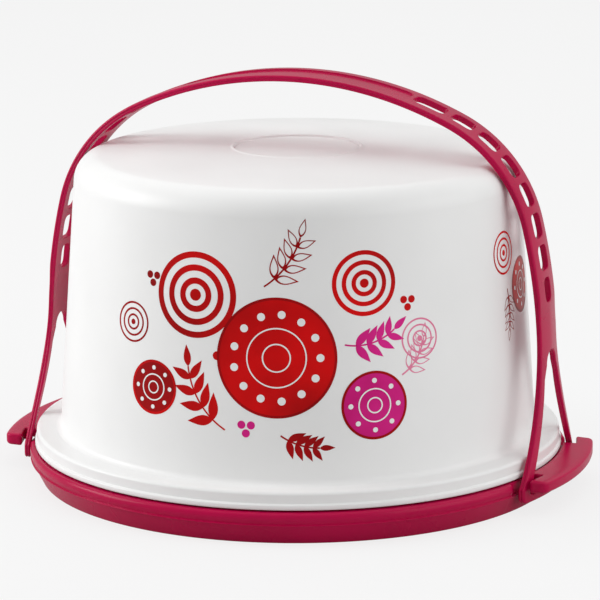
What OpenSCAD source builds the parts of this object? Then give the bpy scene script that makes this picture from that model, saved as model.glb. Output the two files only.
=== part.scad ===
// Round cake carrier: a tray with two T-shaped ears, a domed cover that stands on
// the tray's rim, and a strap handle whose two stirrups hook under the ears.
// Millimetres. Z is up, the tray stands on Z = 0, and the ears lie along X.

/* [Cover] */
// Radius of the cover's skirt at its lower bead
skirt_r = 162; // [155:0.5:170]
// Height of the skirt, from its lower edge to the flange's top face
skirt_h = 10.5; // [8:0.5:16]
// Width of the flange outside the dome wall
flange_w = 16.2; // [13:0.2:20]
// Height of the dome wall, from the flange to the shoulder's centre
wall_h = 152.5; // [130:0.5:180]
// How far the dome wall leans in over that height
wall_draft = 10.4; // [8:0.2:14]
// Radius of the shoulder between the wall and the top
shoulder_r = 16; // [10:0.5:16.5]
// Rise of the domed top between the shoulder and the centre
top_rise = 3.5; // [1:0.25:6]
// Wall thickness of the cover
cover_wall = 2.2; // [1.5:0.1:3]
// How far the lower bead stands out from the skirt
bead_out = 1.1; // [0.4:0.1:1.6]
// Height of the lower bead
bead_h = 3.6; // [2:0.2:5]
// Radius of the round mark in the middle of the top
mark_r = 38.2; // [20:0.2:60]
// Depth of that mark
mark_depth = 0.5; // [0.3:0.1:0.8]

/* [Tray] */
// How far the tray's rim stands out past the cover's skirt
rim_out = 3.2; // [2.6:0.1:5]
// How far the tray's foot stands in from the rim
foot_in = 7.2; // [4:0.2:10]
// Height of the crease between the lower and upper bands of the rim
crease_z = 11.9; // [9:0.1:13]
// Height of the rim's ledge
ledge_z = 19.6; // [18.6:0.2:23]
// Wall thickness of the tray
tray_wall = 2.6; // [2:0.1:3]
// Clearance between the rim's ledge and the skirt's lower edge
skirt_lift = 1; // [0.6:0.1:2]
// Height of the cake floor over the rim's ledge
floor_rise = 2.4; // [1:0.2:4]
// Width of the moat between the cake floor and the cover's seat
moat_w = 17.7; // [12:0.1:30]
// Depth of the moat round the cake floor, from the floor's top face
moat_depth = 3.4; // [2:0.2:4]
// Thickness of the ring that carries the cover
seat_t = 2.2; // [1.6:0.1:3]
// Radial clearance between that ring and the inside of the skirt
seat_gap = 0.5; // [0.3:0.1:1]
// Radius of the inner foot ring under the floor
inner_foot_r = 72; // [50:1:100]
// Number of radial ribs under the floor
rib_count = 12; // [6:1:16]
// Thickness of the ribs and of the inner foot ring
rib_t = 2; // [1.5:0.1:3]
// How far the ribs stay above the table
rib_lift = 3; // [1:0.5:6]

/* [Ears] */
// Radial width of the wings
wing_w = 10.1; // [9:0.1:14]
// Half of the ear's width across its wing tips
ear_half_w = 54; // [48:0.5:60]
// Height of the ear's top face over the rim's ledge
ear_rise = 2; // [1:0.25:3]
// Height of the wing, from its lower edge to the top face
wing_h = 7.3; // [6:0.1:8]
// Half of the neck's width
neck_half_w = 38; // [30:0.5:39]
// Thickness of the neck
neck_t = 5.5; // [3:0.1:6]
// Radial width of the bevel round the ear's outer edge
bevel_w = 3.8; // [2:0.2:5]
// Drop of that bevel
bevel_drop = 0.9; // [0.4:0.1:1.6]
// Chamfer round the ear's lower outer edge
under_bevel = 1.8; // [1:0.1:2.4]
// Clearance between the skirt and the ear
skirt_gap = 1; // [0.6:0.1:2]
// Radial clearance between a handle leg and the wing outside it
leg_gap = 1.8; // [1.6:0.1:2.6]
// Depth of the notch that takes each leg into the rim
notch_depth = 3.4; // [1.5:0.1:3.8]
// How far the notch runs past the leg
notch_past = 2.5; // [1:0.25:5]

/* [Handle] */
// Width of the strap
strap_w = 34; // [30:0.5:36]
// Thickness of the strap
strap_t = 3.8; // [3:0.1:4]
// Gap for the hand between the cover's top and the crown's outer face
hand_gap = 45.7; // [44:0.1:60]
// Angle that the crown's arc turns through
crown_turn = 26.2; // [24:0.1:27]
// Radius of the shoulder's outer face
bend_r = 91; // [86:0.5:94]
// Slope of the strap below the shoulder
bend_end = 76.4; // [75.8:0.1:77.4]
// Radius of the outer face along the side
side_r = 360; // [320:5:390]
// Slope of the strap where the legs start to flare
side_end = 87; // [86.6:0.1:87.5]
// Radius of the outer face along the flared legs
flare_r = 470; // [440:5:500]
// Slope of the strap where the legs turn upright
flare_end = 79.4; // [78.8:0.1:79.8]
// Radius of the outer face where the legs turn upright
foot_bend_r = 30; // [20:1:40]
// Clearance between the tray's rim and the stirrup outside it
bar_gap = 0.6; // [0.5:0.1:2]
// Width of each leg, square to its length
leg_w = 6.8; // [5.5:0.1:7.4]
// Half of the stirrup's width across the legs, at the bar
stirrup_half_w = 55; // [51:0.2:58]
// Height of the stirrup bar's lower edge above the table
bar_z = 6.8; // [6.6:0.1:7.8]
// Height of the stirrup bar
bar_h = 5; // [4:0.1:5.4]
// Height of the legs' leaning stretch, from beside the ear up to the plain strap
leg_h = 83; // [78:1:90]
// Height of the crotch between the legs over the bar's lower edge
crotch_h = 81.8; // [76:0.2:83]
// Radius of that crotch
crotch_r = 9; // [7:0.5:9.5]
// Radius of the stirrup's lower corners
corner_r = 4; // [3:0.5:5.5]
// Width of the slots and of the grip groove
slot_w = 16; // [13:0.5:21]
// Width of the last slot on each shoulder
last_slot_w = 11.4; // [10.5:0.1:20]
// Distance along the strap from the crown's middle to the first slot
slot_start = 76.6; // [73:0.2:78]
// Length of the first slot
first_slot_l = 20.6; // [18:0.2:24]
// Length of the other slots
slot_l = 14.7; // [13:0.1:17.5]
// Web between two slots
slot_web = 4.8; // [2:0.1:5]
// Number of slots on each shoulder
slot_count = 8; // [4:1:8]
// Corner radius of the slots
slot_corner_r = 4.6; // [3:0.1:5]
// Depth of the grip groove
groove_depth = 1.2; // [0.6:0.1:1.6]
// Gap between the grip groove's end and the first slot
groove_web = 4; // [2:0.25:6]

/* [Hidden] */

$fn = 96;
EPS = 0.01;
ARC_STEPS = 8;
FAR = 400;
TRAY_COLOUR = "#b5124b";
HANDLE_COLOUR = "#b00f47";
COVER_COLOUR = "#f2f2f0";

// Cover sizes that follow from the driving ones
skirt_z = ledge_z + skirt_lift;
flange_z = skirt_z + skirt_h;
skirt_inner_r = skirt_r - bead_out - cover_wall;
flange_edge_r = 2;
foot_fillet_r = 3.5;
wall_foot_r = skirt_r - flange_w;
wall_head_r = wall_foot_r - wall_draft;
wall_slope = atan2(wall_draft, wall_h);
shoulder_x = wall_head_r - shoulder_r;
shoulder_z = flange_z + wall_h;
apex_z = shoulder_z + shoulder_r + top_rise;
dome_r = (shoulder_x * shoulder_x + top_rise * top_rise) / (2 * top_rise);

// Tray sizes that follow from the driving ones
rim_r = skirt_r + rim_out;
foot_r = rim_r - foot_in;
rim_round = 2.6;
band_step = 1.4;
crease_round = 0.4;
crease_r = rim_r - band_step;
seat_top_z = flange_z - cover_wall;
seat_outer_r = skirt_inner_r - seat_gap;
seat_inner_r = seat_outer_r - seat_t;
moat_r = seat_inner_r - moat_w + tray_wall;
floor_r = moat_r - tray_wall;
floor_z = ledge_z + floor_rise;
moat_z = floor_z - moat_depth;
ear_z = ledge_z + ear_rise;
ear_root_r = skirt_r + skirt_gap;
notch_floor_r = rim_r - notch_depth;

// Handle sizes that follow from the driving ones
leg_outer_r = rim_r + bar_gap + strap_t;
bar_top_z = bar_z + bar_h;
upright_rise = 1;
upright_z = bar_top_z + upright_rise;
crown_z = apex_z + hand_gap;
crotch_z = bar_z + crotch_h;
wing_inner_r = leg_outer_r + leg_gap;
ear_r = wing_inner_r + wing_w;

// A point that lies a turn of "a" degrees along an arc, measured from straight up
function arc_point(c, r, a) = [c[0] + r * sin(a), c[1] + r * cos(a)];

// Points of an arc from slope a to slope b, in "n" steps
function arc(c, r, a, b, n = ARC_STEPS) =
    [for (i = [0 : n]) arc_point(c, r, a + (b - a) * i / n)];

// How far an arc of radius r runs outward and down between two slopes
function arc_out(r, a, b) = abs(r * (sin(b) - sin(a)));
function arc_down(r, a, b) = abs(r * (cos(b) - cos(a)));

// The strap runs from the crown through the shoulder and along the side, straight
// down a stretch, and then out along the flared legs to their upright feet. What
// the other arcs leave over fixes the crown's radius and the straight stretch.
out_left = leg_outer_r - arc_out(bend_r, crown_turn, bend_end) - arc_out(side_r, bend_end, side_end)
    - arc_out(flare_r, side_end, flare_end) - arc_out(foot_bend_r, flare_end, 90);
down_left = crown_z - upright_z - arc_down(bend_r, crown_turn, bend_end)
    - arc_down(side_r, bend_end, side_end) - arc_down(flare_r, side_end, flare_end)
    - arc_down(foot_bend_r, flare_end, 90);
crown_drop = 1 - cos(crown_turn);
share = sin(crown_turn) * sin(side_end) - crown_drop * cos(side_end);
crown_r = (out_left * sin(side_end) - down_left * cos(side_end)) / share;
straight_l = (down_left * sin(crown_turn) - out_left * crown_drop) / share;

// Centres of the arcs of the strap's outer face
crown_c = [0, crown_z - crown_r];
bend_c = arc_point(crown_c, crown_r - bend_r, crown_turn);
side_c = arc_point(bend_c, bend_r - side_r, bend_end);
straight_end = arc_point(side_c, side_r, side_end) + straight_l * [cos(side_end), -sin(side_end)];
flare_c = arc_point(straight_end, flare_r, side_end);
foot_c = arc_point(flare_c, -flare_r - foot_bend_r, flare_end);

// The strap's face at a depth under the outer one, from the crown down to the table
function strap_face(depth) = concat(
    arc(crown_c, crown_r - depth, 0, crown_turn, 6),
    arc(bend_c, bend_r - depth, crown_turn, bend_end, 14),
    arc(side_c, side_r - depth, bend_end, side_end, 3),
    arc(flare_c, -flare_r - depth, side_end, flare_end, 4),
    arc(foot_c, foot_bend_r - depth, flare_end, 90, 4),
    [[leg_outer_r - depth, 0]]);

// Distance along the strap's outer face to a place, as a point and a slope
crown_len = crown_r * crown_turn * PI / 180;
bend_len = bend_r * (bend_end - crown_turn) * PI / 180;
function strap_slope(s) =
    s < crown_len ? s / crown_r * 180 / PI
    : s < crown_len + bend_len ? crown_turn + (s - crown_len) / bend_r * 180 / PI
    : bend_end + (s - crown_len - bend_len) / side_r * 180 / PI;
function strap_point(s) =
    s < crown_len ? arc_point(crown_c, crown_r, strap_slope(s))
    : s < crown_len + bend_len ? arc_point(bend_c, bend_r, strap_slope(s))
    : arc_point(side_c, side_r, strap_slope(s));

// Where slot i starts, how long it is and how wide
function slot_len(i) = i == 0 ? first_slot_l : slot_l;
function slot_at(i) =
    i == 0 ? slot_start : slot_at(i - 1) + slot_len(i - 1) + slot_web;
function slot_width(i) = i == slot_count - 1 ? last_slot_w : slot_w;

// A cubic curve through four control points, and its direction, at a share t of its length
function curve_point(p, t) =
    pow(1 - t, 3) * p[0] + 3 * pow(1 - t, 2) * t * p[1]
    + 3 * (1 - t) * t * t * p[2] + t * t * t * p[3];
function curve_way(p, t) =
    pow(1 - t, 2) * (p[1] - p[0]) + 2 * (1 - t) * t * (p[2] - p[1]) + t * t * (p[3] - p[2]);

// The outer edge of a leg in the Y-Z plane: upright at the foot, then leaning in,
// and upright again where it becomes the edge of the strap
leg_lean = 0.85;
leg_reach = 27;
strap_reach = 30;
foot_top_z = bar_top_z + corner_r;
split_z = foot_top_z + leg_h;
leg_curve = [
    [stirrup_half_w, foot_top_z],
    [stirrup_half_w - leg_lean * leg_reach, foot_top_z + leg_reach],
    [strap_w / 2, split_z - strap_reach],
    [strap_w / 2, split_z]];

// Points of a leg's edge at a distance inside the outer one, between two shares of the curve
function leg_edge(inset, from, to) = [for (i = [0 : ARC_STEPS])
    let (t = from + (to - from) * i / ARC_STEPS, way = curve_way(leg_curve, t))
    curve_point(leg_curve, t) + inset / norm(way) * [-way[1], way[0]]];
FOOT_SHARE = 0.06;
CROTCH_SHARE = 0.72;

// A closed outline from its right half, which is listed from the bottom up
function both_halves(half) =
    concat(half, [for (i = [len(half) - 1 : -1 : 0]) [-half[i][0], half[i][1]]]);

// Rectangle with rounded corners, in the middle of the plane
module round_rect(l, w, r) {
    square([l - 2 * r, w], center = true);
    square([l, w - 2 * r], center = true);
    for (x = [-1, 1], y = [-1, 1])
        translate([x * (l / 2 - r), y * (w / 2 - r)]) circle(r = r, $fn = 32);
}

// A flat ring
module ring_between(r_in, r_out, h) {
    linear_extrude(h) difference() {
        circle(r = r_out);
        circle(r = r_in);
    }
}

// Points of the domed top between two radii, at a depth under the outer face
function dome(r_from, r_to, depth) = [for (i = [0 : 4])
    let (r = r_from + (r_to - r_from) * i / 4)
    [r, apex_z - dome_r + sqrt(dome_r * dome_r - r * r) - depth]];

// Outline of the cover's face at a depth under the outer one, from the flange to the shoulder
function cover_wall_line(depth) = concat(
    arc([wall_foot_r + foot_fillet_r, flange_z + foot_fillet_r], -foot_fillet_r - depth,
        0, 90 - wall_slope, 6),
    arc([shoulder_x, shoulder_z], shoulder_r - depth, 90 - wall_slope, 0));

// The cover's cross-section, to the right of the axis
module cover_section() {
    skirt_top = flange_z - flange_edge_r;
    outer = concat(cover_wall_line(0), dome(shoulder_x - EPS, mark_r, 0), dome(mark_r, 0, mark_depth));
    inner = concat(cover_wall_line(cover_wall), dome(shoulder_x - EPS, 0, cover_wall));
    edge_c = [skirt_r - bead_out - flange_edge_r, skirt_top];
    bead_z = skirt_z + bead_h;
    polygon(concat(
        [[skirt_inner_r, skirt_z], [skirt_r - bead_out / 2, skirt_z], [skirt_r, skirt_z + bead_out / 2],
         [skirt_r, bead_z - bead_out], [skirt_r - bead_out, bead_z]],
        arc(edge_c, flange_edge_r, 90, 0, 6),
        outer,
        [for (i = [len(inner) - 1 : -1 : 0]) inner[i]],
        [[skirt_inner_r, seat_top_z]]));
}

module cover() {
    color(COVER_COLOUR) rotate_extrude() cover_section();
}

// The tray's cross-section, to the right of the axis
module tray_section() {
    wall_in_r = crease_r - tray_wall;
    seat_in_r = seat_inner_r - tray_wall;
    polygon(concat(
        [[0, floor_z], [floor_r, floor_z], [moat_r, moat_z], [seat_inner_r, moat_z],
         [seat_inner_r, seat_top_z], [seat_outer_r, seat_top_z], [seat_outer_r, ledge_z]],
        arc([rim_r - rim_round, ledge_z - rim_round], rim_round, 0, 90, 4),
        [[rim_r, crease_z + crease_round], [crease_r, crease_z], [foot_r, 0],
         [foot_r - tray_wall, 0], [wall_in_r, crease_z - crease_round],
         [wall_in_r, ledge_z - tray_wall], [seat_in_r, ledge_z - tray_wall],
         [seat_in_r, moat_z - tray_wall], [moat_r - tray_wall, moat_z - tray_wall],
         [floor_r - tray_wall, floor_z - tray_wall], [0, floor_z - tray_wall]]));
}

// Both sides of a revolved shape, cut to a width across the ears
module ears_cut(half_w) {
    intersection() {
        rotate_extrude() children();
        cube([FAR, 2 * half_w, FAR], center = true);
    }
}

// The ears: a neck out of the rim, and wings across its end with a bevelled outer edge
module ears() {
    wing_z = ear_z - wing_h;
    wing_body_r = ear_r - under_bevel;
    ears_cut(neck_half_w)
        translate([ear_root_r, ear_z - neck_t])
            square([wing_inner_r + EPS - ear_root_r, neck_t]);
    ears_cut(ear_half_w) polygon([
        [wing_inner_r, wing_z], [wing_body_r, wing_z], [ear_r, wing_z + under_bevel],
        [ear_r, ear_z - bevel_drop], [ear_r - bevel_w, ear_z], [wing_inner_r, ear_z]]);
}

// Notches in the rim that the handle's legs stand in, beside the necks
module leg_notches() {
    notch_half_w = stirrup_half_w + notch_past;
    difference() {
        intersection() {
            translate([0, 0, crease_z]) ring_between(notch_floor_r, rim_r + tray_wall, ledge_z);
            cube([FAR, 2 * notch_half_w, FAR], center = true);
        }
        cube([FAR, 2 * neck_half_w, FAR], center = true);
    }
}

// Ribs and an inner foot ring under the floor
module underside() {
    floor_under = floor_z - tray_wall;
    difference() {
        ring_between(inner_foot_r - rib_t, inner_foot_r, floor_under + EPS);
        translate([0, 0, -EPS]) ring_between(inner_foot_r, inner_foot_r + rib_t, rib_lift);
    }
    for (i = [0 : rib_count - 1]) rotate([0, 0, (i + 0.5) * 360 / rib_count])
        translate([inner_foot_r - rib_t / 2, -rib_t / 2, rib_lift])
            cube([floor_r - tray_wall - inner_foot_r, rib_t, floor_under - rib_lift + EPS]);
}

module base_tray() {
    color(TRAY_COLOUR) {
        difference() {
            rotate_extrude() tray_section();
            leg_notches();
        }
        ears();
        underside();
    }
}

// Outline of the stirrup and strap seen along X
module handle_outline() {
    polygon(both_halves(concat(
        arc([stirrup_half_w - corner_r, bar_z + corner_r], corner_r, 180, 90, 4),
        leg_edge(0, 0, 1),
        [[strap_w / 2, 2 * crown_z]])));
}

// The opening between the legs, above the bar
module stirrup_opening() {
    r = corner_r / 2;
    inner_half_w = stirrup_half_w - leg_w;
    polygon(both_halves(concat(
        arc([inner_half_w - r, bar_top_z + r], r, 180, 90, 4),
        leg_edge(leg_w, FOOT_SHARE, CROTCH_SHARE),
        arc([0, crotch_z - crotch_r], crotch_r, 85, 5, 6))));
}

// The strap's band as a slice of a dome, before it is cut to width
module strap_band() {
    outer = strap_face(0);
    inner = strap_face(strap_t);
    rotate_extrude() polygon(concat(outer, [for (i = [len(inner) - 1 : -1 : 0]) inner[i]]));
}

// A prism along X from a shape in the Y-Z plane, reaching past the handle on both sides
module along_x() {
    translate([-FAR, 0, 0]) rotate([90, 0, 90]) linear_extrude(2 * FAR) children();
}

// A cutter that stands square to the strap's outer face at a distance s along it
module on_strap(s) {
    p = strap_point(s);
    translate([p[0], 0, p[1]]) rotate([0, strap_slope(s), 0]) children();
}

module slot_cutters() {
    for (i = [0 : slot_count - 1])
        on_strap(slot_at(i) + slot_len(i) / 2)
            translate([0, 0, -3 * strap_t])
                linear_extrude(6 * strap_t) round_rect(slot_len(i), slot_width(i), slot_corner_r);
}

// The grip groove: a thin skin off the outer face, between round ends
module grip_groove() {
    half_l = slot_start - groove_web;
    intersection() {
        translate([crown_c[0], 0, crown_c[1]]) sphere(r = crown_r + strap_t, $fn = 200);
        translate([0, 0, crown_z - crown_r]) difference() {
            translate([0, 0, crown_r / 2]) linear_extrude(crown_r)
                round_rect(2 * half_l, slot_w, slot_corner_r);
            sphere(r = crown_r - groove_depth, $fn = 200);
        }
    }
}

module carry_handle() {
    color(HANDLE_COLOUR)
    difference() {
        intersection() {
            strap_band();
            along_x() difference() {
                handle_outline();
                stirrup_opening();
            }
        }
        slot_cutters();
        mirror([1, 0, 0]) slot_cutters();
        grip_groove();
    }
}

base_tray();
cover();
carry_handle();
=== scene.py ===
import math

import bmesh
import bpy
import numpy as np
from mathutils import Matrix, Vector
from mathutils.geometry import delaunay_2d_cdt


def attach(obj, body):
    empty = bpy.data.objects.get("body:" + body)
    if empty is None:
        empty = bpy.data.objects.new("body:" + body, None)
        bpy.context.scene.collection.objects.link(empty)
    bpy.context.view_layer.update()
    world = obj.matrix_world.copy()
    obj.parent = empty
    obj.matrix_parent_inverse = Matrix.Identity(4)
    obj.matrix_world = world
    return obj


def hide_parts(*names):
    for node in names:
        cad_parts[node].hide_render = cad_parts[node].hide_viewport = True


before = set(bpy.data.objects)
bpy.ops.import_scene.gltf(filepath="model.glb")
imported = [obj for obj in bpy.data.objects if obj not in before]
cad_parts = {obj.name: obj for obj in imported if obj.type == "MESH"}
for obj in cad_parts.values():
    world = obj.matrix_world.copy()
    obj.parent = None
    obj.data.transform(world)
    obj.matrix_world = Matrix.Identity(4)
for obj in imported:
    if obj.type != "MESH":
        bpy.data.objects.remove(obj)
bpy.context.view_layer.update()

# Sizes in millimetres, as in the solid model -------------------------------------------

MM = 0.001

# Cover
SKIRT_R, SKIRT_H, FLANGE_W = 162.0, 10.5, 16.2
WALL_H, WALL_DRAFT, SHOULDER_R, TOP_RISE = 152.5, 10.4, 16.0, 3.5
COVER_WALL, BEAD_OUT, BEAD_H = 2.2, 1.1, 3.6
MARK_R, MARK_DEPTH = 38.2, 0.5
FLANGE_EDGE_R, FOOT_FILLET_R = 2.0, 3.5

# Tray
RIM_OUT, FOOT_IN, CREASE_Z, LEDGE_Z, TRAY_WALL = 3.2, 7.2, 11.9, 19.6, 2.6
SKIRT_LIFT, FLOOR_RISE, MOAT_W, MOAT_DEPTH = 1.0, 2.4, 17.7, 3.4
SEAT_T, SEAT_GAP, INNER_FOOT_R = 2.2, 0.5, 72.0
RIB_COUNT, RIB_T, RIB_LIFT = 12, 2.0, 3.0
BAND_STEP = 1.4

# Ears
WING_W, EAR_HALF_W, EAR_RISE, WING_H = 10.1, 54.0, 2.0, 7.3
NECK_HALF_W, NECK_T, LEG_GAP = 38.0, 5.5, 1.8
BEVEL_W, UNDER_BEVEL, SKIRT_GAP = 3.8, 1.8, 1.0
NOTCH_DEPTH, NOTCH_PAST = 3.4, 2.5

# Handle
STRAP_W, STRAP_T, HAND_GAP = 34.0, 3.8, 45.7
CROWN_TURN, BEND_R, BEND_END = 26.2, 91.0, 76.4
SIDE_R, SIDE_END, FLARE_R, FLARE_END, FOOT_BEND_R = 360.0, 87.0, 470.0, 79.4, 30.0
BAR_GAP, LEG_W, STIRRUP_HALF_W, BAR_Z, BAR_H = 0.6, 6.8, 55.0, 6.8, 5.0
LEG_H, CROTCH_H, CROTCH_R, CORNER_R = 83.0, 81.8, 9.0, 4.0
SLOT_W, LAST_SLOT_W, SLOT_START = 16.0, 11.4, 76.6
FIRST_SLOT_L, SLOT_L, SLOT_WEB, SLOT_COUNT, SLOT_CORNER_R = 20.6, 14.7, 4.8, 8, 4.6
GROOVE_DEPTH, GROOVE_WEB = 1.2, 4.0

SKIRT_Z = LEDGE_Z + SKIRT_LIFT
FLANGE_Z = SKIRT_Z + SKIRT_H
SKIRT_INNER_R = SKIRT_R - BEAD_OUT - COVER_WALL
WALL_FOOT_R = SKIRT_R - FLANGE_W
WALL_HEAD_R = WALL_FOOT_R - WALL_DRAFT
WALL_SLOPE = math.atan2(WALL_DRAFT, WALL_H)
SHOULDER_X = WALL_HEAD_R - SHOULDER_R
SHOULDER_Z = FLANGE_Z + WALL_H
APEX_Z = SHOULDER_Z + SHOULDER_R + TOP_RISE
DOME_R = (SHOULDER_X ** 2 + TOP_RISE ** 2) / (2 * TOP_RISE)

RIM_R = SKIRT_R + RIM_OUT
FOOT_R = RIM_R - FOOT_IN
CREASE_R = RIM_R - BAND_STEP
SEAT_TOP_Z = FLANGE_Z - COVER_WALL
SEAT_OUTER_R = SKIRT_INNER_R - SEAT_GAP
SEAT_INNER_R = SEAT_OUTER_R - SEAT_T
MOAT_R = SEAT_INNER_R - MOAT_W + TRAY_WALL
FLOOR_R = MOAT_R - TRAY_WALL
FLOOR_Z = LEDGE_Z + FLOOR_RISE
MOAT_Z = FLOOR_Z - MOAT_DEPTH
EAR_Z = LEDGE_Z + EAR_RISE
EAR_ROOT_R = SKIRT_R + SKIRT_GAP
NOTCH_FLOOR_R = RIM_R - NOTCH_DEPTH

LEG_OUTER_R = RIM_R + BAR_GAP + STRAP_T
BAR_TOP_Z = BAR_Z + BAR_H
UPRIGHT_Z = BAR_TOP_Z + 1
CROWN_Z = APEX_Z + HAND_GAP
CROTCH_Z = BAR_Z + CROTCH_H
WING_INNER_R = LEG_OUTER_R + LEG_GAP
EAR_R = WING_INNER_R + WING_W


# Outlines and meshes ---------------------------------------------------------------------

def arc(centre, radius, start, end, steps):
    """Points of an arc in (r, z) between two slopes in degrees, measured from straight up."""
    turns = np.radians(np.linspace(start, end, steps + 1))
    return [(centre[0] + radius * math.sin(a), centre[1] + radius * math.cos(a)) for a in turns]


def softened(corners, steps=4):
    """Closed outline whose corners (x, y, cut) turn into short curves that start 'cut' away."""
    points = []
    for i, (x, y, cut) in enumerate(corners):
        here = np.array((x, y))
        if not cut:
            points.append(here)
            continue
        ends = []
        for other in (corners[i - 1], corners[(i + 1) % len(corners)]):
            way = np.array(other[:2]) - here
            ends.append(here + way / np.linalg.norm(way) * cut)
        for t in np.linspace(0, 1, steps + 1):
            points.append((1 - t) ** 2 * ends[0] + 2 * t * (1 - t) * here + t * t * ends[1])
    return [tuple(p) for p in points]


def resampled(points, spacing):
    """Open run of points with the gaps filled in, so that none is longer than the spacing."""
    points = [np.array(p, float) for p in points]
    out = []
    for a, b in zip(points, points[1:]):
        parts = max(1, math.ceil(np.linalg.norm(b - a) / spacing))
        out += [a + (b - a) * k / parts for k in range(parts)]
    return [tuple(p) for p in out + [points[-1]]]


def closed_loop(points, spacing):
    return np.array(resampled(list(points) + [points[0]], spacing)[:-1])


def area(loop):
    x, y = loop[:, 0], loop[:, 1]
    return 0.5 * np.sum(x * np.roll(y, -1) - y * np.roll(x, -1))


def inward(loop, hole=False):
    """Unit vectors from a loop into the material, which is outside the loop if it is a hole."""
    way = np.roll(loop, -1, 0) - np.roll(loop, 1, 0)
    normal = np.stack([-way[:, 1], way[:, 0]], 1) / np.linalg.norm(way, axis=1)[:, None]
    return normal * (1 if (area(loop) > 0) != hole else -1)


def inside(points, loops):
    """True for each point that lies inside an odd number of the loops."""
    x, y = points[:, 0][:, None], points[:, 1][:, None]
    found = np.zeros(len(points), bool)
    for loop in loops:
        a, b = loop, np.roll(loop, -1, 0)
        crosses = (a[:, 1] > y) != (b[:, 1] > y)
        rise = np.where(b[:, 1] == a[:, 1], 1, b[:, 1] - a[:, 1])
        at = a[:, 0] + (y - a[:, 1]) * (b[:, 0] - a[:, 0]) / rise
        found ^= (np.sum(crosses & (x < at), 1) % 2).astype(bool)
    return found


def fill(loops, step):
    """Points and triangles that cover the area between closed loops, with a grid of points inside."""
    points = np.concatenate(loops)
    edges, first = [], 0
    for loop in loops:
        n = len(loop)
        edges += [(first + i, first + (i + 1) % n) for i in range(n)]
        first += n
    low, high = points.min(0), points.max(0)
    grid = np.stack(np.meshgrid(np.arange(low[0] + step / 2, high[0], step),
                                np.arange(low[1] + step / 2, high[1], step)), -1).reshape(-1, 2)
    grid = grid[inside(grid, loops)]
    near = [np.min(np.sum((points - g) ** 2, 1)) for g in grid]
    grid = grid[np.array(near) > (0.6 * step) ** 2] if len(grid) else grid
    found = delaunay_2d_cdt([Vector(p) for p in np.concatenate([points, grid])],
                            edges, [], 0, 1e-6)
    made = np.array([tuple(v) for v in found[0]])
    faces = np.array([f for f in found[2]])
    faces = faces[inside(made[faces].mean(1), loops)]
    return made, faces


class Layout:
    """A flat sheet of material in (x, y, depth), which is bent into place at the end."""

    def __init__(self):
        self.verts, self.faces = [], []

    def add(self, verts, faces):
        first = len(self.verts)
        self.verts += [tuple(v) for v in verts]
        self.faces += [tuple(first + int(i) for i in f) for f in faces]

    def edge(self, loop, ways, stack):
        """The walls of one loop, through rings of (inset, depth)."""
        n = len(loop)
        rings = []
        for inset, depth in stack:
            ring = loop + ways * inset
            rings += [(p[0], p[1], depth) for p in ring]
        faces = []
        for k in range(len(stack) - 1):
            for i in range(n):
                j = (i + 1) % n
                faces.append((k * n + i, k * n + j, (k + 1) * n + j, (k + 1) * n + i))
        self.add(rings, faces)

    def face(self, loops, depth, step):
        made, faces = fill(loops, step)
        self.add([(p[0], p[1], depth) for p in made], faces)


def build(name, verts, faces, material, closed=True):
    """A smooth mesh object from points in millimetres."""
    mesh = bpy.data.meshes.new(name)
    bm = bmesh.new()
    made = [bm.verts.new((v[0] * MM, v[1] * MM, v[2] * MM)) for v in verts]
    for f in faces:
        if len(set(f)) > 2:
            try:
                bm.faces.new([made[i] for i in f])
            except ValueError:
                pass
    bmesh.ops.remove_doubles(bm, verts=bm.verts, dist=2e-6)
    if closed:
        bmesh.ops.recalc_face_normals(bm, faces=bm.faces)
    for f in bm.faces:
        f.smooth = True
    bm.to_mesh(mesh)
    bm.free()
    mesh.materials.append(material)
    thing = bpy.data.objects.new(name, mesh)
    bpy.context.scene.collection.objects.link(thing)
    if closed:
        thing.modifiers.new("even_shading", "WEIGHTED_NORMAL").keep_sharp = True
    return thing


FINE_TURNS = 288


def full_turn(count):
    return [k * 2 * math.pi / count for k in range(count)]


def lathe(profile_at, turns):
    """Rings of a closed (r, z) outline round the Z axis, at each of the turns in radians."""
    verts, faces = [], []
    n = 0
    for a in turns:
        ring = profile_at(a)
        n = len(ring)
        verts += [(r * math.cos(a), r * math.sin(a), z) for r, z in ring]
    rings = len(turns)
    for k in range(rings):
        after = (k + 1) % rings
        for i in range(n):
            j = (i + 1) % n
            faces.append((k * n + i, k * n + j, after * n + j, after * n + i))
    return verts, faces


# Materials -------------------------------------------------------------------------------

class Nodes:
    def __init__(self, name):
        self.material = bpy.data.materials.new(name)
        self.material.use_nodes = True
        self.tree = self.material.node_tree
        self.tree.nodes.clear()
        self.out = self.tree.nodes.new("ShaderNodeOutputMaterial")

    def add(self, kind, settings=None, **values):
        node = self.tree.nodes.new(kind)
        for key, value in (settings or {}).items():
            setattr(node, key, value)
        for key, value in values.items():
            node.inputs[key.replace("_", " ")].default_value = value
        return node

    def link(self, a, b):
        self.tree.links.new(a, b)

    def ramp(self, fac, stops):
        node = self.add("ShaderNodeValToRGB")
        ramp = node.color_ramp
        while len(ramp.elements) < len(stops):
            ramp.elements.new(0.5)
        for element, (at, colour) in zip(ramp.elements, stops):
            element.position = at
            element.color = (*colour, 1)
        self.link(fac, node.inputs["Fac"])
        return node


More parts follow.
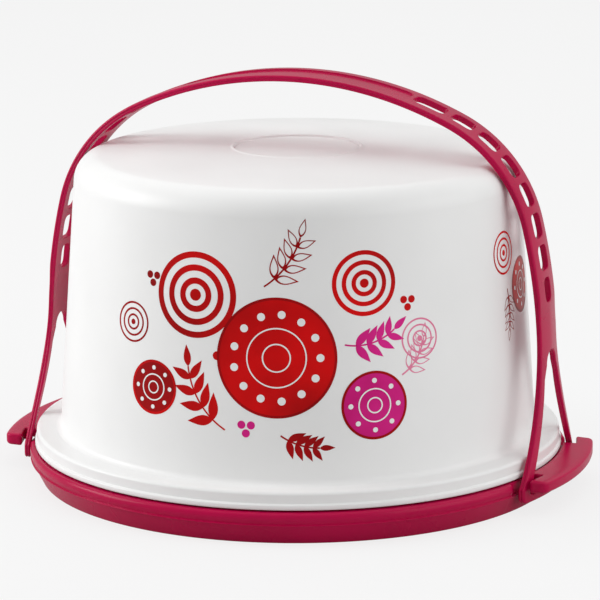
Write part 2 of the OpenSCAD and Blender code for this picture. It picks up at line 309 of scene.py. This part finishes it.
def moulded_plastic(name, dark, light, rough, specular):
    """Injection-moulded plastic: a faint cloudiness in colour and gloss, and a fine skin."""
    n = Nodes(name)
    place = n.add("ShaderNodeTexCoord")
    cloud = n.add("ShaderNodeTexNoise", Scale=18.0, Detail=3.0, Roughness=0.5)
    n.link(place.outputs["Object"], cloud.inputs["Vector"])
    colour = n.ramp(cloud.outputs["Fac"], [(0.3, dark), (0.7, light)])
    gloss = n.add("ShaderNodeMapRange")
    for key, value in (("From Min", 0.3), ("From Max", 0.7),
                       ("To Min", rough - 0.03), ("To Max", rough + 0.04)):
        gloss.inputs[key].default_value = value
    n.link(cloud.outputs["Fac"], gloss.inputs["Value"])
    skin = n.add("ShaderNodeTexNoise", Scale=900.0, Detail=2.0, Roughness=0.6)
    n.link(place.outputs["Object"], skin.inputs["Vector"])
    bump = n.add("ShaderNodeBump", Strength=0.02, Distance=0.0005)
    n.link(skin.outputs["Fac"], bump.inputs["Height"])
    shader = n.add("ShaderNodeBsdfPrincipled")
    shader.inputs["Specular IOR Level"].default_value = specular
    n.link(colour.outputs["Color"], shader.inputs["Base Color"])
    n.link(gloss.outputs["Result"], shader.inputs["Roughness"])
    n.link(bump.outputs["Normal"], shader.inputs["Normal"])
    n.link(shader.outputs["BSDF"], n.out.inputs["Surface"])
    return n.material


def ink(name, dark, light):
    return moulded_plastic(name, dark, light, 0.30, 0.1)


MAGENTA_SHADES = ((0.43, 0.001, 0.052), (0.49, 0.0015, 0.062))
TRAY_PLASTIC = moulded_plastic("magenta_tray", *MAGENTA_SHADES, 0.27, 0.14)
HANDLE_PLASTIC = moulded_plastic("magenta_handle", *MAGENTA_SHADES, 0.27, 0.14)
COVER_PLASTIC = moulded_plastic("white_cover", (0.85, 0.85, 0.845), (0.88, 0.88, 0.875), 0.38, 0.35)
RED_INK = ink("red_ink", (0.34, 0.001, 0.002), (0.74, 0.003, 0.004))
DARK_INK = ink("dark_red_ink", (0.22, 0.001, 0.002), (0.42, 0.002, 0.004))
MAGENTA_INK = ink("magenta_ink", (0.48, 0.003, 0.12), (0.72, 0.02, 0.26))
PINK_INK = ink("pink_ink", (0.72, 0.16, 0.30), (0.80, 0.24, 0.38))


# The cover ---------------------------------------------------------------------------------

def dome_z(r):
    return APEX_Z - DOME_R + math.sqrt(DOME_R ** 2 - r ** 2)


def cover_outer(depth, dome_steps=14):
    """The cover's outer face, from the wall's foot to the axis, moved in by a depth."""
    wall_end = 90 - math.degrees(WALL_SLOPE)
    dome_tilt = math.degrees(math.asin(SHOULDER_X / DOME_R))
    foot = arc((WALL_FOOT_R + FOOT_FILLET_R, FLANGE_Z + FOOT_FILLET_R), -(FOOT_FILLET_R + depth),
               0, wall_end, 8)
    shoulder = arc((SHOULDER_X, SHOULDER_Z), SHOULDER_R - depth, wall_end, dome_tilt / 2, 18)
    wall = resampled([foot[-1], shoulder[0]], 8)[1:-1]
    top = [(r, dome_z(r) - depth) for r in np.linspace(SHOULDER_X, MARK_R + 3, dome_steps)[1:]]
    return foot + wall + shoulder + top


def cover_profile():
    outer = cover_outer(0)
    mark = [(MARK_R + out, dome_z(MARK_R + out) + rise) for out, rise in (
        (2.2, 0.0), (1.6, 0.3), (1.1, 0.55), (0.7, 0.52), (0.4, 0.2), (0.15, -0.5), (-0.1, -0.95),
        (-0.5, -1.0), (-0.9, -0.8), (-1.3, -MARK_DEPTH))]
    mark += [(r, dome_z(r) - MARK_DEPTH) for r in np.linspace(MARK_R - 3, 0, 8)]
    inner = cover_outer(COVER_WALL) + [(0, APEX_Z - COVER_WALL)]
    skirt_top = FLANGE_Z - FLANGE_EDGE_R
    skirt_face = SKIRT_R - BEAD_OUT
    bead_z = SKIRT_Z + BEAD_H
    lower = softened([
        (SKIRT_INNER_R, SEAT_TOP_Z, 0), (SKIRT_INNER_R, SKIRT_Z, 0.5), (SKIRT_R - 0.3, SKIRT_Z, 0.9),
        (SKIRT_R, SKIRT_Z + 0.6, 0.5), (SKIRT_R, bead_z - 0.7, 0.6), (skirt_face, bead_z, 0.35)])
    edge_arc = arc((skirt_face - FLANGE_EDGE_R, skirt_top), FLANGE_EDGE_R, 90, 0, 8)
    return lower + edge_arc + outer + mark + inner[::-1]


PROFILE = cover_profile()
verts, faces = lathe(lambda a: PROFILE, full_turn(FINE_TURNS))
cover = build("cover_shell", verts, faces, COVER_PLASTIC)
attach(cover, "cover")
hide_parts("cover")


# The print: thin films of ink on the cover's wall ----------------------------------------------

INK_T = 0.05
FRONT = math.radians(-70.35)


def on_wall(turn, z, lift):
    """A place on the cover's wall, at a turn from the front and a height."""
    tilt = WALL_SLOPE
    low = (WALL_FOOT_R + FOOT_FILLET_R * (1 - math.cos(tilt)),
           FLANGE_Z + FOOT_FILLET_R * (1 - math.sin(tilt)))
    high = (SHOULDER_X + SHOULDER_R * math.cos(tilt), SHOULDER_Z + SHOULDER_R * math.sin(tilt))
    r = low[0] + (high[0] - low[0]) * (z - low[1]) / (high[1] - low[1]) + lift
    return r * math.cos(FRONT + turn), r * math.sin(FRONT + turn), z


def circle(x, y, r):
    n = max(20, int(r * 5))
    return np.array([(x + r * math.cos(a), y + r * math.sin(a)) for a in np.arange(n) * 2 * math.pi / n])


def leaf(x, y, length, width, turn):
    """A pointed leaf whose foot is at (x, y), as a closed loop."""
    along, across = np.array((math.cos(turn), math.sin(turn))), np.array((-math.sin(turn), math.cos(turn)))
    t = np.linspace(0, 1, 17)
    half = width / 2 * np.sin(np.pi * t ** 0.8) * (1 - 0.25 * t)
    side = [(x, y) + along * length * a + across * h for a, h in zip(t, half)]
    other = [(x, y) + along * length * a - across * h for a, h in zip(t[1:-1], half[1:-1])]
    return np.array(side + other[::-1])


class Film:
    """Shapes in one ink, each laid flat round a point of the wall and then wrapped on to it."""

    def __init__(self, name, ink):
        self.name, self.ink, self.layout = name, ink, Layout()

    def lay(self, turn, z, loops, layer=1):
        made, faces = fill([np.array(loop) for loop in loops], 3.5)
        middle = np.linalg.norm(on_wall(turn, z, 0)[:2])
        self.layout.add([on_wall(turn + u / middle, z + v, INK_T * layer) for u, v in made], faces)

    def done(self):
        piece = build(self.name, self.layout.verts, self.layout.faces, self.ink, closed=False)
        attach(piece, "cover")
        return piece


RED, DARK = Film("print_red", RED_INK), Film("print_dark_red", DARK_INK)
MAGENTA, PINK = Film("print_magenta", MAGENTA_INK), Film("print_pink", PINK_INK)
BARE = Film("print_gaps", COVER_PLASTIC)


def roundel(film, rim, turn, z, r):
    """A disc with bare rings and a crown of bare dots in it, inside a rim of the second ink."""
    film.lay(turn, z, [circle(0, 0, r)])
    rim.lay(turn, z, [circle(0, 0, r), circle(0, 0, r - 1.5)], 2)
    BARE.lay(turn, z, [circle(0, 0, r * 0.50), circle(0, 0, r * 0.50 - 0.8)], 3)
    BARE.lay(turn, z, [circle(0, 0, r * 0.24), circle(0, 0, r * 0.24 - 0.8)], 3)
    dots = max(8, round(r / 2.6))
    for k in range(dots):
        a = 2 * math.pi * k / dots
        BARE.lay(turn, z, [circle(r * 0.72 * math.cos(a), r * 0.72 * math.sin(a), r * 0.055 + 0.4)], 3)


def rings(film, turn, z, r, band=1.6, count=3):
    """Rings of one ink round a dot."""
    for k in range(count):
        out = r * (1 - k * 0.3)
        film.lay(turn, z, [circle(0, 0, out), circle(0, 0, out - band)])
    film.lay(turn, z, [circle(0, 0, r * 0.14)])


def sprig(film, turn, z, length, way, bend, leaf_l, outline=False):
    """A curved stem with leaves in pairs, and one at its tip."""
    steps = 24
    heading, x, y = way, 0.0, 0.0
    stem = []
    for k in range(steps + 1):
        stem.append((x, y, heading))
        x += length / steps * math.cos(heading)
        y += length / steps * math.sin(heading)
        heading += bend / steps
    sides = [[(x - side * 0.5 * math.sin(h), y + side * 0.5 * math.cos(h)) for x, y, h in stem]
             for side in (1, -1)]
    film.lay(turn, z, [sides[0] + sides[1][::-1]])
    places = [(k, side) for k in range(5, steps - 2, 5) for side in (1, -1)] + [(steps, 0)]
    for k, side in places:
        x, y, h = stem[k]
        size = leaf_l * (1 - 0.25 * k / steps)
        loops = [leaf(x, y, size, size * 0.42, h + side * 0.85)]
        if outline:
            middle = loops[0].mean(0)
            loops.append(middle + (loops[0] - middle) * (0.74, 0.74))
        film.lay(turn, z, loops)


def berries(film, turn, z, r, count=3):
    for k in range(count):
        a = 2 * math.pi * k / count + 0.5
        film.lay(turn, z, [circle(1.35 * r * math.cos(a), 1.35 * r * math.sin(a), r)])


roundel(RED, DARK, math.radians(-5), 105, 35)
roundel(MAGENTA, DARK, math.radians(18), 76, 20)
roundel(DARK, RED, math.radians(-36), 82, 16)
rings(RED, math.radians(-25), 139, 25, 3.6)
rings(RED, math.radians(16), 147, 19, 2.6)
rings(PINK, math.radians(30), 112, 12, 1.0)
rings(DARK, math.radians(-43), 118, 12, 1.2)
sprig(RED, math.radians(-17), 62, 44, 2.6, -0.9, 17)
sprig(DARK, math.radians(-8), 146, 36, 0.6, 0.7, 15, True)
sprig(MAGENTA, math.radians(11), 112, 32, -0.2, 0.9, 14)
sprig(PINK, math.radians(25), 92, 26, 0.5, 0.9, 12, True)
sprig(DARK, math.radians(-4), 60, 24, -0.6, 0.6, 12)
berries(RED, math.radians(-18), 103, 2.6)
berries(MAGENTA, math.radians(-12), 64, 2.4)
berries(RED, math.radians(27), 134, 2.2)
berries(DARK, math.radians(-37), 146, 2.2)
rings(RED, math.radians(62), 150, 13, 1.3)
roundel(RED, DARK, math.radians(73), 126, 17)
sprig(DARK, math.radians(63), 128, 24, -1.3, -0.5, 11, True)
for film in (RED, DARK, MAGENTA, PINK):
    film.done()
BARE.done()


# The tray ----------------------------------------------------------------------------------

def tray_profile(notched):
    """The tray's section: an upper band over a narrow waist and lip, or a notch's plain floor."""
    wall_in = CREASE_R - TRAY_WALL
    seat_in = SEAT_INNER_R - TRAY_WALL
    rim = NOTCH_FLOOR_R if notched else RIM_R
    floor_under = FLOOR_Z - TRAY_WALL
    upper_round, lower_round, waist = (0.6, 0.3, 0.0) if notched else (3.0, 1.0, 0.9)
    crease = min(CREASE_R, rim)
    return softened([
        (0, FLOOR_Z, 0), (FLOOR_R, FLOOR_Z, 1.5), (MOAT_R, MOAT_Z, 1.2), (SEAT_INNER_R, MOAT_Z, 1.0),
        (SEAT_INNER_R, SEAT_TOP_Z, 0.4), (SEAT_OUTER_R, SEAT_TOP_Z, 0.4), (SEAT_OUTER_R, LEDGE_Z, 0.5),
        (rim, LEDGE_Z, upper_round), (rim, CREASE_Z + 3.6, lower_round),
        (rim - waist, CREASE_Z + 1.1, 0.2), (rim - waist / 8, CREASE_Z + 0.65, 0.2),
        (rim - waist / 4, CREASE_Z + 0.1, 0.15), (crease, CREASE_Z, 0.3),
        (CREASE_R, CREASE_Z - 0.01 if notched else CREASE_Z - 0.4, 0.0),
        (FOOT_R, 0, 0.7), (FOOT_R - TRAY_WALL, 0, 0.6), (wall_in, CREASE_Z - 1, 0.8),
        (wall_in, LEDGE_Z - TRAY_WALL, 0.8), (seat_in, LEDGE_Z - TRAY_WALL, 0.0),
        (seat_in, MOAT_Z - TRAY_WALL, 0.8), (MOAT_R - TRAY_WALL, MOAT_Z - TRAY_WALL, 0.8),
        (FLOOR_R - TRAY_WALL, floor_under, 0.8), (0, floor_under, 0)])


def notch_edges():
    """Turns, from the +X axis, at which each rim notch starts and ends."""
    middle = (NOTCH_FLOOR_R + RIM_R) / 2
    return (math.asin(NECK_HALF_W / middle), math.asin((STIRRUP_HALF_W + NOTCH_PAST) / middle))


def tray_turns():
    """Turns round the tray, with a double ring at each side wall of a notch, and whether each is cut."""
    start, end = notch_edges()
    wall = 0.0012
    marks = []
    for base in (0, math.pi):
        for side in (1, -1):
            for edge, inner in ((start, 1), (end, -1)):
                at = base + side * edge
                marks.append((at % (2 * math.pi), side * inner))
    rings = []
    for a in full_turn(FINE_TURNS):
        if min(abs((a - m + math.pi) % (2 * math.pi) - math.pi) for m, _ in marks) < 3 * wall:
            continue
        rings.append((a, None))
    for m, way in marks:
        rings.append(((m + way * wall) % (2 * math.pi), True))
        rings.append(((m - way * wall) % (2 * math.pi), False))
    rings.sort()

    def cut(a):
        folded = abs((a + math.pi / 2) % math.pi - math.pi / 2)
        return start < folded < end
    return [(a, cut(a) if known is None else known) for a, known in rings]


TRAY_RINGS = tray_turns()
PLAIN, NOTCHED = tray_profile(False), tray_profile(True)
lookup = {a: (NOTCHED if cut else PLAIN) for a, cut in TRAY_RINGS}
verts, faces = lathe(lambda a: lookup[a], [a for a, _ in TRAY_RINGS])
tray = build("tray_dish", verts, faces, TRAY_PLASTIC)
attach(tray, "tray")
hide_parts("base_tray")


def ear(side):
    """One ear: a neck out of the rim and the wings across its end, in (r, Y, depth under the top)."""
    root = EAR_ROOT_R
    corners = [
        (root, -NECK_HALF_W, 0.3), (WING_INNER_R, -NECK_HALF_W, 1.2), (WING_INNER_R, -EAR_HALF_W, 2.6),
        (EAR_R, -EAR_HALF_W, 4.0), (EAR_R, EAR_HALF_W, 4.0), (WING_INNER_R, EAR_HALF_W, 2.6),
        (WING_INNER_R, NECK_HALF_W, 1.2), (root, NECK_HALF_W, 0.3)]
    loop = closed_loop(softened(corners, 6), 1.6)
    ways = inward(loop)
    outer = np.clip((loop[:, 0] - WING_INNER_R) / WING_W, 0, 1) ** 0.5
    low = WING_H

    def ring(bevel):
        return ways * (bevel * (0.25 + 0.75 * outer))[:, None]

    sheet = Layout()
    n = len(loop)
    stack = [(BEVEL_W, 0.0), (BEVEL_W * 0.7, 0.1), (BEVEL_W * 0.4, 0.34), (BEVEL_W * 0.2, 0.62), (0.35, 0.95),
             (0.12, 1.25), (0.0, 1.8), (0.0, low - UNDER_BEVEL), (0.25, low - UNDER_BEVEL * 0.6),
             (0.8, low - 0.45), (1.3, low - 0.1), (UNDER_BEVEL, low)]
    rings = [loop + ring(inset) for inset, _ in stack]
    verts = [(p[0], p[1], d) for r, (_, d) in zip(rings, stack) for p in r]
    faces = [(k * n + i, k * n + (i + 1) % n, (k + 1) * n + (i + 1) % n, (k + 1) * n + i)
             for k in range(len(stack) - 1) for i in range(n)]
    sheet.add(verts, faces)
    sheet.face([rings[0]], 0.0, 2.5)
    sheet.face([rings[-1]], low, 2.5)

    def place(r, y, depth):
        neck = min(1, max(0, (WING_INNER_R - 0.6 - r) / 0.6))
        depth = min(depth, low + (NECK_T - low) * neck)
        return (side * math.sqrt(r * r - y * y), side * y, EAR_Z - depth)
    return [place(*v) for v in sheet.verts], sheet.faces


for label, side in (("right", 1), ("left", -1)):
    verts, faces = ear(side)
    piece = build("ear_" + label, verts, faces, TRAY_PLASTIC)
    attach(piece, "tray")
    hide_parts("base_tray")


def underside():
    """The inner foot ring and the ribs under the floor."""
    top = FLOOR_Z - TRAY_WALL + 0.4
    ring = softened([(INNER_FOOT_R - RIB_T, top, 0), (INNER_FOOT_R, top, 0), (INNER_FOOT_R, 0, 0.5),
                     (INNER_FOOT_R - RIB_T, 0, 0.5)])
    verts, faces = lathe(lambda a: ring, full_turn(FINE_TURNS // 2))
    for k in range(RIB_COUNT):
        a = (k + 0.5) * 2 * math.pi / RIB_COUNT
        way, across = np.array((math.cos(a), math.sin(a))), np.array((-math.sin(a), math.cos(a)))
        section = softened([(-RIB_T / 2, top, 0), (-RIB_T / 2, RIB_LIFT, 0.6), (RIB_T / 2, RIB_LIFT, 0.6),
                            (RIB_T / 2, top, 0)])
        first = len(verts)
        m = len(section)
        for out in (INNER_FOOT_R - RIB_T / 2, FLOOR_R - TRAY_WALL + 1):
            verts += [(*(way * out + across * x), z) for x, z in section]
        faces += [(first + i, first + (i + 1) % m, first + m + (i + 1) % m, first + m + i) for i in range(m)]
        faces += [tuple(range(first, first + m)), tuple(range(first + m, first + 2 * m))]
    return verts, faces


verts, faces = underside()
ribs = build("tray_ribs", verts, faces, TRAY_PLASTIC)
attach(ribs, "tray")
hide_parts("base_tray")


# The handle ----------------------------------------------------------------------------------

def arc_out(r, a, b):
    return abs(r * (math.sin(math.radians(b)) - math.sin(math.radians(a))))


def arc_down(r, a, b):
    return abs(r * (math.cos(math.radians(b)) - math.cos(math.radians(a))))


def strap_run():
    """The strap's outer face as runs of (length, start slope, curvature), from the crown's middle."""
    out_left = (LEG_OUTER_R - arc_out(BEND_R, CROWN_TURN, BEND_END) - arc_out(SIDE_R, BEND_END, SIDE_END)
                - arc_out(FLARE_R, SIDE_END, FLARE_END) - arc_out(FOOT_BEND_R, FLARE_END, 90))
    down_left = (CROWN_Z - UPRIGHT_Z - arc_down(BEND_R, CROWN_TURN, BEND_END)
                 - arc_down(SIDE_R, BEND_END, SIDE_END) - arc_down(FLARE_R, SIDE_END, FLARE_END)
                 - arc_down(FOOT_BEND_R, FLARE_END, 90))
    turn, end = math.radians(CROWN_TURN), math.radians(SIDE_END)
    drop = 1 - math.cos(turn)
    share = math.sin(turn) * math.sin(end) - drop * math.cos(end)
    crown_r = (out_left * math.sin(end) - down_left * math.cos(end)) / share
    straight = (down_left * math.sin(turn) - out_left * drop) / share
    runs = []
    for radius, a, b in ((crown_r, 0, CROWN_TURN), (BEND_R, CROWN_TURN, BEND_END),
                         (SIDE_R, BEND_END, SIDE_END)):
        runs.append((radius * math.radians(b - a), math.radians(a), 1 / radius))
    runs.append((straight, end, 0))
    runs.append((FLARE_R * math.radians(SIDE_END - FLARE_END), end, -1 / FLARE_R))
    runs.append((FOOT_BEND_R * math.radians(90 - FLARE_END), math.radians(FLARE_END), 1 / FOOT_BEND_R))
    runs.append((UPRIGHT_Z, math.radians(90), 0))
    return crown_r, runs


CROWN_R, STRAP_RUNS = strap_run()


def strap_at(s):
    """(r, z, slope) of the strap's outer face at a distance s from the crown's middle."""
    r, z = 0.0, CROWN_Z
    for length, slope, bend in STRAP_RUNS:
        part = min(s, length)
        end = slope + bend * part
        if bend:
            r += (math.sin(end) - math.sin(slope)) / bend
            z += (math.cos(end) - math.cos(slope)) / bend
        else:
            r += part * math.cos(slope)
            z -= part * math.sin(slope)
        s -= part
        if s <= 0:
            break
    return r, z, end


STRAP_LEN = sum(run[0] for run in STRAP_RUNS)
TABLE_S = np.linspace(0, STRAP_LEN, 1500)
TABLE_Z = np.array([strap_at(s)[1] for s in TABLE_S])


def s_at_z(z):
    return float(np.interp(-z, -TABLE_Z, TABLE_S))


def ease(x, low, high):
    t = min(1, max(0, (x - low) / (high - low)))
    return t * t * (3 - 2 * t)


LAST_SLOT_END = SLOT_START + FIRST_SLOT_L + (SLOT_COUNT - 1) * (SLOT_L + SLOT_WEB)
CROTCH_S = s_at_z(CROTCH_Z)
RIDGE = 0.7
EDGE_R, SLOT_EDGE_R, INNER_EDGE_R = 1.3, 0.6, 0.8
SPACING, GRID = 1.3, 2.4


def on_strap(s, t, depth):
    """A place on or under the strap's outer face, as a point in space."""
    side = -1 if s < 0 else 1
    s = abs(s)
    r, z, slope = strap_at(s)
    ridge = ease(s, LAST_SLOT_END - 6, LAST_SLOT_END + 10) * (1 - ease(s, CROTCH_S - 4, CROTCH_S + 30))
    depth += ridge * RIDGE * min(1, abs(t) / (STRAP_W / 2)) * (1 - depth / STRAP_T)
    curve = r / math.sin(slope) if slope > 0.02 else CROWN_R
    off = curve - math.sqrt((curve - depth) ** 2 - t * t) if slope < 1.4 else 0
    x_a, z_a = r - math.sin(slope) * off, z - math.cos(slope) * off
    lower = r - depth * math.sin(slope)
    x_b = math.sqrt(max(0, lower * lower - t * t)) if slope > 0.7 else 0
    z_b = z - depth * math.cos(slope)
    mix = ease(math.degrees(slope), 60, 76)
    return (side * (x_a + (x_b - x_a) * mix), t, z_a + (z_b - z_a) * mix)


def leg_curve(t, inset=0.0):
    """Outer edge of a leg in (Y, z), or a curve inset from it, at a share t."""
    foot = BAR_TOP_Z + CORNER_R
    split = foot + LEG_H
    p = [np.array(q) for q in ((STIRRUP_HALF_W, foot), (STIRRUP_HALF_W - 0.85 * 27, foot + 27),
                               (STRAP_W / 2, split - 30), (STRAP_W / 2, split))]
    at = (1 - t) ** 3 * p[0] + 3 * (1 - t) ** 2 * t * p[1] + 3 * (1 - t) * t * t * p[2] + t ** 3 * p[3]
    way = (1 - t) ** 2 * (p[1] - p[0]) + 2 * (1 - t) * t * (p[2] - p[1]) + t * t * (p[3] - p[2])
    return at + inset / np.linalg.norm(way) * np.array((-way[1], way[0]))


def stirrup_edge():
    """Right half (Y > 0) of the handle's outline, from the bar's middle up to the strap's edge."""
    corner = arc((STIRRUP_HALF_W - CORNER_R, BAR_Z + CORNER_R), CORNER_R, 180, 90, 8)
    leg = [leg_curve(t) for t in np.linspace(0, 1, 40)]
    return resampled([(0.0, BAR_Z)] + corner + [tuple(p) for p in leg], 1.6)


def opening_edge():
    r = CORNER_R / 2
    inner = STIRRUP_HALF_W - LEG_W
    corner = arc((inner - r, BAR_TOP_Z + r), r, 180, 90, 5)
    leg = [tuple(leg_curve(t, LEG_W)) for t in np.linspace(0.06, 0.72, 30)]
    crotch = arc((0, CROTCH_Z - CROTCH_R), CROTCH_R, 85, 0, 10)
    return resampled([(0.0, BAR_TOP_Z)] + corner + leg + crotch, 1.6)


def in_layout(half, side):
    """A (Y, z) run for Y > 0 as (s, t) points of one stirrup."""
    return [(side * s_at_z(z), y) for y, z in half]


def round_slot(start, length, width, corner):
    """A rounded rectangle in (s, t)."""
    a, b, w = start, start + length, width / 2
    return softened([(a, -w, corner), (b, -w, corner), (b, w, corner), (a, w, corner)], 7)


def handle_layout():
    right = in_layout(stirrup_edge(), 1)
    left = in_layout(stirrup_edge(), -1)
    up = right + resampled([right[-1], left[-1]], 2.0)[1:-1] + left[::-1]
    outline = up + [(s, -t) for s, t in up[::-1][1:-1]]
    outline = np.array(outline)
    holes = []
    for side in (1, -1):
        half = in_layout(opening_edge(), side)
        holes.append((np.array(half + [(s, -t) for s, t in half[::-1][1:-1]]), EDGE_R))
        start = SLOT_START
        for i in range(SLOT_COUNT):
            length = FIRST_SLOT_L if i == 0 else SLOT_L
            width = LAST_SLOT_W if i == SLOT_COUNT - 1 else SLOT_W
            a = start if side > 0 else -start - length
            holes.append((closed_loop(round_slot(a, length, width, SLOT_CORNER_R), SPACING), SLOT_EDGE_R))
            start += length + SLOT_WEB
    half_l = CROWN_R * math.asin((SLOT_START - GROOVE_WEB) / CROWN_R)
    groove = closed_loop(round_slot(-half_l, 2 * half_l, SLOT_W, SLOT_CORNER_R), SPACING)
    return outline, holes, groove


def round_stack(r_outer, r_inner, thickness, steps=5):
    """Rings of (inset, depth) over a wall with a rounded edge on both faces."""
    turns = np.radians(np.linspace(0, 90, steps + 1))
    top = [(r_outer * (1 - math.sin(a)), r_outer * (1 - math.cos(a))) for a in turns]
    bottom = [(r_inner * (1 - math.cos(a)), thickness - r_inner * (1 - math.sin(a))) for a in turns]
    return top + bottom


def handle_mesh():
    outline, holes, groove = handle_layout()
    sheet = Layout()
    top_loops, bottom_loops = [], []
    ways = inward(outline)
    stack = round_stack(EDGE_R, EDGE_R, STRAP_T)
    middle = len(stack) // 2
    stack[middle:middle] = [(0.28, STRAP_T * 0.42), (0.34, STRAP_T * 0.5), (0.28, STRAP_T * 0.58)]
    sheet.edge(outline, ways, stack)
    top_loops.append(outline + ways * EDGE_R)
    bottom_loops.append(outline + ways * EDGE_R)
    for hole, r in holes:
        ways = inward(hole, hole=True)
        sheet.edge(hole, ways, round_stack(r, min(r, INNER_EDGE_R), STRAP_T))
        top_loops.append(hole + ways * r)
        bottom_loops.append(hole + ways * min(r, INNER_EDGE_R))
    ways = inward(groove, hole=True)
    lip = [(0.5, 0.0), (0.22, 0.06), (0.06, 0.22), (0.0, 0.5), (-0.05, 0.8), (-0.25, 1.1),
           (-0.6, GROOVE_DEPTH)]
    sheet.edge(groove, ways, lip)
    top_loops.append(groove + ways * lip[0][0])
    sheet.face(top_loops, 0.0, GRID)
    sheet.face(bottom_loops, STRAP_T, GRID)
    sheet.face([groove + ways * lip[-1][0]], GROOVE_DEPTH, GRID)
    return [on_strap(*v) for v in sheet.verts], sheet.faces


verts, faces = handle_mesh()
handle = build("handle_strap", verts, faces, HANDLE_PLASTIC)
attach(handle, "handle")
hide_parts("carry_handle")


# Stage, camera and light -----------------------------------------------------------------------

CAMERA_SHARE, GLOSSY_SHARE, FLOOR_GREY, SKY_LIGHT = 0.8, 0.2, 0.6, 0.45


def backdrop(name):
    """Nearly white to the camera, and partly to reflections, and still takes the object's shadow."""
    n = Nodes(name)
    paths = n.add("ShaderNodeLightPath")
    seen = n.add("ShaderNodeMath", {"operation": "MAXIMUM"})
    for socket, ray, share in ((0, "Is Camera Ray", CAMERA_SHARE), (1, "Is Glossy Ray", GLOSSY_SHARE)):
        part = n.add("ShaderNodeMath", {"operation": "MULTIPLY"})
        part.inputs[1].default_value = share
        n.link(paths.outputs[ray], part.inputs[0])
        n.link(part.outputs[0], seen.inputs[socket])
    matt = n.add("ShaderNodeBsdfDiffuse")
    matt.inputs["Color"].default_value = (FLOOR_GREY, FLOOR_GREY, FLOOR_GREY, 1)
    white = n.add("ShaderNodeEmission", Strength=1.0)
    white.inputs["Color"].default_value = (1, 1, 1, 1)
    mix = n.add("ShaderNodeMixShader")
    n.link(seen.outputs[0], mix.inputs["Fac"])
    n.link(matt.outputs["BSDF"], mix.inputs[1])
    n.link(white.outputs["Emission"], mix.inputs[2])
    n.link(mix.outputs["Shader"], n.out.inputs["Surface"])
    return n.material


floor_mesh = bpy.data.meshes.new("floor")
floor_mesh.from_pydata([(-12, -12, 0), (12, -12, 0), (12, 12, 0), (-12, 12, 0)], [], [(0, 1, 2, 3)])
floor_mesh.materials.append(backdrop("floor_white"))
floor = bpy.data.objects.new("floor", floor_mesh)
bpy.context.scene.collection.objects.link(floor)

world = bpy.data.worlds.new("studio")
bpy.context.scene.world = world
world.use_nodes = True
tree = world.node_tree
tree.nodes.clear()
sky = tree.nodes.new("ShaderNodeBackground")
sky.inputs["Color"].default_value = (1, 1, 1, 1)
sky.inputs["Strength"].default_value = SKY_LIGHT
white = tree.nodes.new("ShaderNodeBackground")
white.inputs["Color"].default_value = (1, 1, 1, 1)
white.inputs["Strength"].default_value = 1.0
paths = tree.nodes.new("ShaderNodeLightPath")
mix = tree.nodes.new("ShaderNodeMixShader")
out = tree.nodes.new("ShaderNodeOutputWorld")
tree.links.new(paths.outputs["Is Camera Ray"], mix.inputs["Fac"])
tree.links.new(sky.outputs["Background"], mix.inputs[1])
tree.links.new(white.outputs["Background"], mix.inputs[2])
tree.links.new(mix.outputs["Shader"], out.inputs["Surface"])


AIM = Vector((0, 0, 0.1))


def area_light(name, place, size, power):
    light = bpy.data.lights.new(name, "AREA")
    light.shape = "RECTANGLE"
    light.size, light.size_y = size
    light.energy = power
    lamp = bpy.data.objects.new(name, light)
    lamp.location = place
    lamp.rotation_mode = "QUATERNION"
    lamp.rotation_quaternion = (AIM - Vector(place)).to_track_quat("-Z", "Y")
    bpy.context.scene.collection.objects.link(lamp)


area_light("left", (-1.9, -0.65, 0.9), (1.2, 1.2), 29)
area_light("right", (2.1, -0.15, 0.8), (2.4, 1.4), 17)
area_light("top", (0.0, 0.8, 2.3), (4.4, 4.4), 42)

AZIMUTH, PITCH, ROLL = math.radians(19.608), math.radians(12.797), math.radians(0.199)
DISTANCE, STANDING, HEIGHT = 1.96570, math.radians(19.65), 0.55364
SENSOR_MM, FOCAL_PX, FRAME_PX = 36, 3291.8, 600
forward = Vector((-math.sin(AZIMUTH) * math.cos(PITCH), math.cos(AZIMUTH) * math.cos(PITCH),
                  -math.sin(PITCH)))
level = Vector((math.cos(AZIMUTH), math.sin(AZIMUTH), 0))
above = level.cross(forward)
right = level * math.cos(ROLL) - above * math.sin(ROLL)
up = above * math.cos(ROLL) + level * math.sin(ROLL)
camera = bpy.data.objects.new("camera", bpy.data.cameras.new("camera"))
camera.data.sensor_width = SENSOR_MM
camera.data.lens = SENSOR_MM * FOCAL_PX / FRAME_PX
camera.data.clip_end = 50
camera.matrix_world = Matrix((
    (right.x, up.x, -forward.x, DISTANCE * math.sin(STANDING)),
    (right.y, up.y, -forward.y, -DISTANCE * math.cos(STANDING)),
    (right.z, up.z, -forward.z, HEIGHT),
    (0, 0, 0, 1)))
bpy.context.scene.collection.objects.link(camera)
bpy.context.scene.camera = camera
bpy.context.scene.view_settings.view_transform = "Standard"
